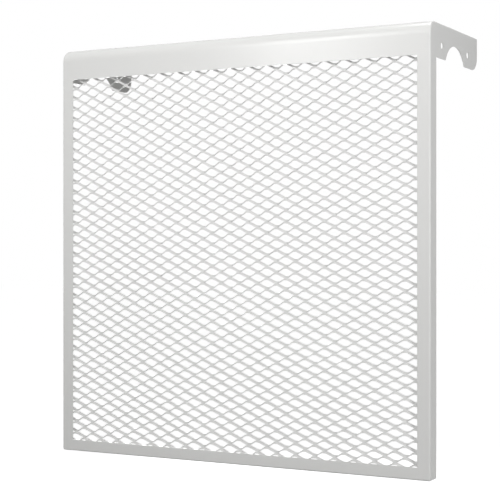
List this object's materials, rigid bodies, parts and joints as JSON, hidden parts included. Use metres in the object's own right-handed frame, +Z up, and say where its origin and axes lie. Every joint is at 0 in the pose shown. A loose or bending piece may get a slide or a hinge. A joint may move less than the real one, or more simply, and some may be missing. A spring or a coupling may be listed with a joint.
{
  "type": "hang-on radiator cover",
  "caption": "Folded sheet-steel radiator cover with a rolled top edge, deck, notched hanging ears and a raised expanded-metal front, powder-coated white.",
  "frame": {"origin": "middle of the underside of the deck, the face that rests on top of the radiator", "axes": "+Z up, +Y from the front face to the rear (towards the wall), +X to the right seen from the front"},
  "size_m": [0.6, 0.19, 0.615],
  "materials": {
    "frame_coat": "satin off-white powder coat",
    "mesh_coat": "satin off-white powder coat",
    "strip_coat": "satin off-white powder coat"
  },
  "bodies": {
    "root": {"top_shell": "frame_coat", "bottom_rail": "frame_coat", "left_side": "frame_coat", "right_side": "frame_coat", "mesh_panel": "mesh_coat", "mesh_strip_top": "strip_coat", "mesh_strip_bottom": "strip_coat", "mesh_strip_left": "strip_coat", "mesh_strip_right": "strip_coat"}
  },
  "joints": []
}
